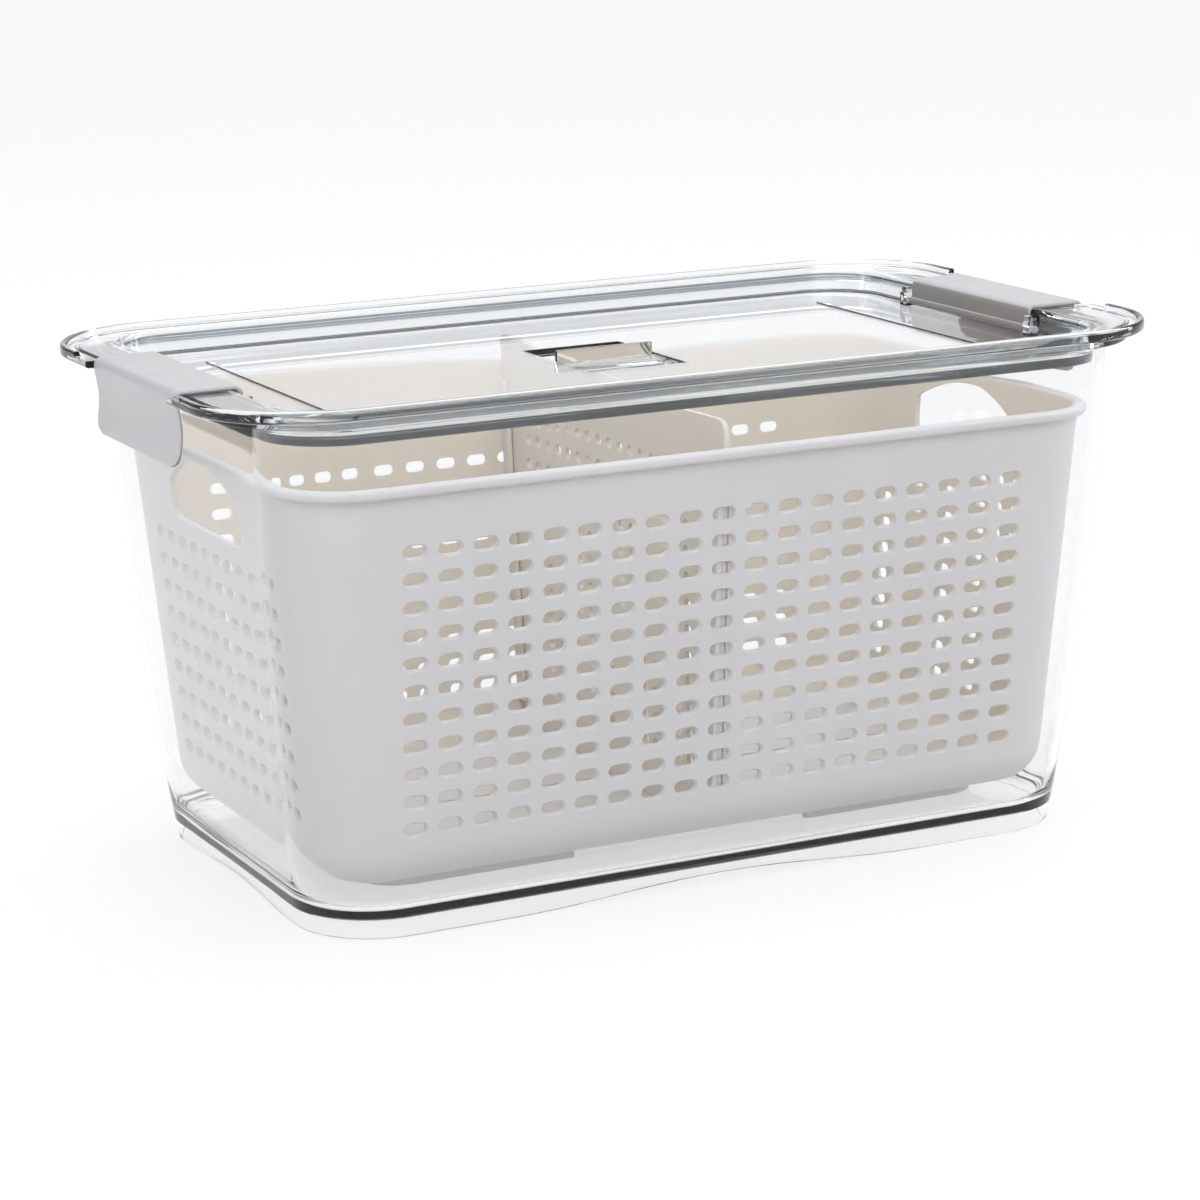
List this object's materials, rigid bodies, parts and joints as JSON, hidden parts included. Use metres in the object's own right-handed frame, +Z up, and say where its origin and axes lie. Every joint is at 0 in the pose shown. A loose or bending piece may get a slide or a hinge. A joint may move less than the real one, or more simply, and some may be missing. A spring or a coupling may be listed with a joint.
{
  "type": "fridge storage box",
  "caption": "Clear rectangular fridge box with a recessed clip-on lid, a sliding vent, and a perforated lift-out drain basket split by a divider.",
  "frame": {"origin": "middle of the base, on the surface that the box stands on", "axes": "+X along the length towards the right-hand clip, +Y to the back, +Z up"},
  "size_m": [0.32, 0.188, 0.164],
  "materials": {
    "clear_bin": "clear, polished",
    "clear_lid": "clear, polished",
    "clip_grey": "fine satin",
    "basket_grey": "fine satin",
    "divider_grey": "fine satin"
  },
  "bodies": {
    "bin": {"outer_bin": "clear_bin"},
    "lid": {"lid": "clear_lid"},
    "slider": {"vent_slider": "clear_lid"},
    "left_clip": {"left_clip": "clip_grey"},
    "right_clip": {"right_clip": "clip_grey"},
    "basket": {"basket": "basket_grey"},
    "divider": {"divider": "divider_grey"}
  },
  "joints": [
    {"name": "lid_lift", "type": "slide", "parent": "bin", "child": "lid", "axis": [0, 0, 1], "range_m": [0, 0.33]},
    {"name": "left_clip_hinge", "type": "hinge", "parent": "lid", "child": "left_clip", "pos_m": [-0.1365, 0, 0.1562], "axis": [0, 1, 0], "range_deg": [0, 90]},
    {"name": "right_clip_hinge", "type": "hinge", "parent": "lid", "child": "right_clip", "pos_m": [0.1365, 0, 0.1562], "axis": [0, -1, 0], "range_deg": [0, 90]},
    {"name": "vent_slide", "type": "slide", "parent": "lid", "child": "slider", "axis": [0, 1, 0], "range_m": [0, 0.0232]},
    {"name": "basket_lift", "type": "slide", "parent": "bin", "child": "basket", "axis": [0, 0, 1], "range_m": [0, 0.17]},
    {"name": "divider_lift", "type": "slide", "parent": "basket", "child": "divider", "axis": [0, 0, 1], "range_m": [0, 0.14]}
  ],
  "couplings": [
    {"joint": "basket_lift", "follows": "lid_lift", "ratio": 0.515},
    {"joint": "divider_lift", "follows": "lid_lift", "ratio": 0.424}
  ]
}
